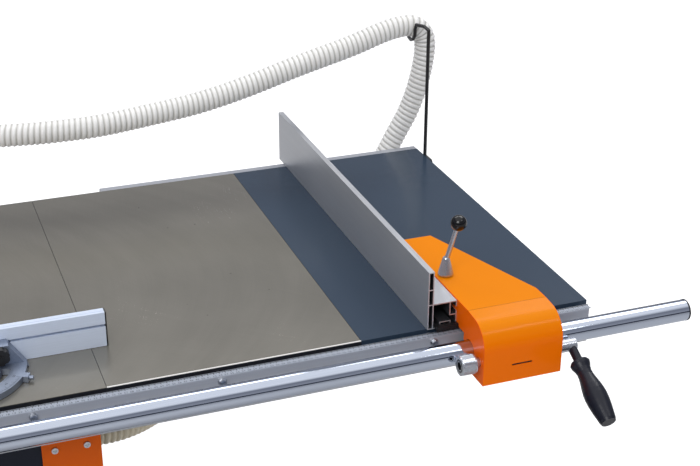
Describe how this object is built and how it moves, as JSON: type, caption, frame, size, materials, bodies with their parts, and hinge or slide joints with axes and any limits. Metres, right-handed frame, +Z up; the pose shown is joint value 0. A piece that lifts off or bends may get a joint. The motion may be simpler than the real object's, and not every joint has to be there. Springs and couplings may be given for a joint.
{
  "type": "sliding table saw",
  "caption": "Cabinet table saw with extension tables, rip fence on a round guide bar, mitre gauge, sliding table, tilting blade and overhead dust hose",
  "frame": {"origin": "on the floor at the centre of the four floor bolts, in the plane of the blade", "axes": "+X along the guide bar to the operator's right, +Y to the back, +Z up"},
  "size_m": [2.25, 1.5, 1.1648],
  "materials": {
    "frame_paint": "satin dark grey paint",
    "panel_paint": "satin anthracite paint",
    "orange_plate_paint": "satin orange paint",
    "orange_cover_paint": "fine orange peel gloss paint",
    "zinc": "bright zinc",
    "ground_iron": "ground with fine circular marks",
    "raw_iron": "raw casting",
    "insert_alu": "fine brushed",
    "blue_paint": "semi gloss blue grey paint",
    "beam_paint": "satin black paint",
    "extruded_alu": "anodised satin",
    "scale_alu": "matt silver with plain graduation",
    "bar_chrome": "polished",
    "part_chrome": "polished",
    "black_plastic": "satin black",
    "ball_plastic": "gloss black",
    "black_rod": "black lacquer",
    "hose_plastic": "translucent off white",
    "duct_steel": "grey paint",
    "green_plastic": "moulded",
    "red_plastic": "moulded",
    "machined_steel": "machined",
    "hard_chrome": "ground and plated",
    "motor_paint": "dark grey paint",
    "guard_plastic": "moulded orange",
    "belt_rubber": "ribbed belt"
  },
  "bodies": {
    "base": {"base_frame": "frame_paint", "front_panel": "panel_paint", "rear_panel": "panel_paint", "left_panel": "panel_paint", "right_panel": "panel_paint", "corner_plate": "orange_plate_paint", "screws": "zinc", "main_table": "ground_iron", "table_insert": "insert_alu", "cast_extension": "ground_iron", "steel_extension": "blue_paint", "support_beams": "beam_paint", "front_rail": "extruded_alu", "rail_scale": "scale_alu", "guide_bar": "bar_chrome", "bar_end_caps": "black_plastic", "bar_spacers": "machined_steel", "rear_rail": "extruded_alu", "hose_hanger": "black_rod", "hanger_clamp": "black_rod", "dust_hose": "hose_plastic", "dust_port": "black_plastic", "dust_chute": "duct_steel", "switch_box": "black_plastic", "mains_inlet": "black_plastic", "trunnions": "raw_iron", "tilt_bearings": "raw_iron", "carriage_beam": "extruded_alu"},
    "tilt_unit": {"tilt_cradle": "raw_iron", "guide_columns": "hard_chrome"},
    "lift_unit": {"arbor_carriage": "raw_iron", "motor": "motor_paint", "riving_knife": "machined_steel", "blade_guard": "guard_plastic", "drive_belt": "belt_rubber"},
    "arbor": {"arbor_shaft": "machined_steel", "saw_blade": "machined_steel", "blade_clamp": "machined_steel", "arbor_pulley": "machined_steel"},
    "motor_drive": {"motor_pulley": "machined_steel"},
    "lift_wheel": {"lift_handwheel": "black_plastic"},
    "lift_spindle": {"lift_screw": "machined_steel"},
    "tilt_wheel": {"tilt_handwheel": "black_plastic"},
    "start_key": {"start_button": "green_plastic"},
    "stop_key": {"stop_button": "red_plastic"},
    "fence_slide": {"fence_carriage": "raw_iron", "fence_cover": "orange_cover_paint"},
    "fence_rail": {"rip_fence": "extruded_alu", "fence_glide": "black_plastic"},
    "fence_clamp_lever": {"fence_lever": "part_chrome", "lever_ball": "ball_plastic"},
    "bar_clamp": {"clamp_shaft": "part_chrome", "clamp_handle": "black_plastic"},
    "mitre_slide": {"mitre_bar": "machined_steel"},
    "mitre_swivel": {"mitre_head": "extruded_alu", "mitre_fence": "extruded_alu", "mitre_end_caps": "black_plastic"},
    "mitre_clamp": {"mitre_knob": "black_plastic"},
    "crosscut_slide": {"sliding_table": "extruded_alu", "crosscut_fence": "extruded_alu"}
  },
  "joints": [
    {"name": "blade_tilt", "type": "hinge", "parent": "base", "child": "tilt_unit", "pos_m": [0, 0, 0.85], "axis": [0, -1, 0], "range_deg": [0, 45]},
    {"name": "blade_lift", "type": "slide", "parent": "tilt_unit", "child": "lift_unit", "axis": [0, 0, 1], "range_m": [-0.06, 0]},
    {"name": "arbor_spin", "type": "hinge", "parent": "lift_unit", "child": "arbor", "pos_m": [0, 0, 0.7925], "axis": [1, 0, 0], "continuous": true},
    {"name": "motor_spin", "type": "hinge", "parent": "lift_unit", "child": "motor_drive", "pos_m": [-0.03, 0, 0.6225], "axis": [1, 0, 0], "continuous": true},
    {"name": "lift_wheel_turn", "type": "hinge", "parent": "tilt_unit", "child": "lift_wheel", "pos_m": [-0.06, -0.28, 0.55], "axis": [0, 1, 0], "range_deg": [-2160, 0]},
    {"name": "lift_screw_turn", "type": "hinge", "parent": "tilt_unit", "child": "lift_spindle", "pos_m": [-0.06, -0.1, 0.55], "axis": [0, 0, 1], "range_deg": [0, 2160]},
    {"name": "tilt_wheel_turn", "type": "hinge", "parent": "base", "child": "tilt_wheel", "pos_m": [-0.344, -0.244, 0.5775], "axis": [1, 0, 0], "range_deg": [0, 5400]},
    {"name": "start_press", "type": "slide", "parent": "base", "child": "start_key", "axis": [0, 1, 0], "range_m": [0, 0.004], "stiffness_N_per_m": 800},
    {"name": "stop_press", "type": "slide", "parent": "base", "child": "stop_key", "axis": [0, 1, 0], "range_m": [0, 0.005], "stiffness_N_per_m": 800},
    {"name": "fence_travel", "type": "slide", "parent": "base", "child": "fence_slide", "axis": [1, 0, 0], "range_m": [-0.53, 0.17]},
    {"name": "fence_reach", "type": "slide", "parent": "fence_slide", "child": "fence_rail", "axis": [0, 1, 0], "range_m": [-0.25, 0.05]},
    {"name": "fence_lever_turn", "type": "hinge", "parent": "fence_slide", "child": "fence_clamp_lever", "pos_m": [0.989, -0.31, 0.9], "axis": [0, 0, 1], "range_deg": [-60, 60]},
    {"name": "bar_clamp_turn", "type": "hinge", "parent": "fence_slide", "child": "bar_clamp", "pos_m": [1.05, -0.5, 0.826], "axis": [1, 0, 0], "range_deg": [-40, 50]},
    {"name": "mitre_travel", "type": "slide", "parent": "base", "child": "mitre_slide", "axis": [0, 1, 0], "range_m": [-0.1, 0.45]},
    {"name": "mitre_angle", "type": "hinge", "parent": "mitre_slide", "child": "mitre_swivel", "pos_m": [0.12, -0.284, 0.86], "axis": [0, 0, 1], "range_deg": [-45, 45]},
    {"name": "mitre_knob_turn", "type": "hinge", "parent": "mitre_swivel", "child": "mitre_clamp", "pos_m": [0.189, -0.3, 0.883], "axis": [0, 1, 0], "range_deg": [-360, 0]},
    {"name": "table_travel", "type": "slide", "parent": "base", "child": "crosscut_slide", "axis": [0, 1, 0], "range_m": [-0.45, 0.45]}
  ],
  "couplings": [
    {"joint": "motor_spin", "follows": "arbor_spin", "ratio": 0.64},
    {"joint": "lift_wheel_turn", "follows": "blade_lift", "rad_per_m": 628.32},
    {"joint": "lift_screw_turn", "follows": "blade_lift", "rad_per_m": -628.32},
    {"joint": "tilt_wheel_turn", "follows": "blade_tilt", "ratio": 120}
  ]
}
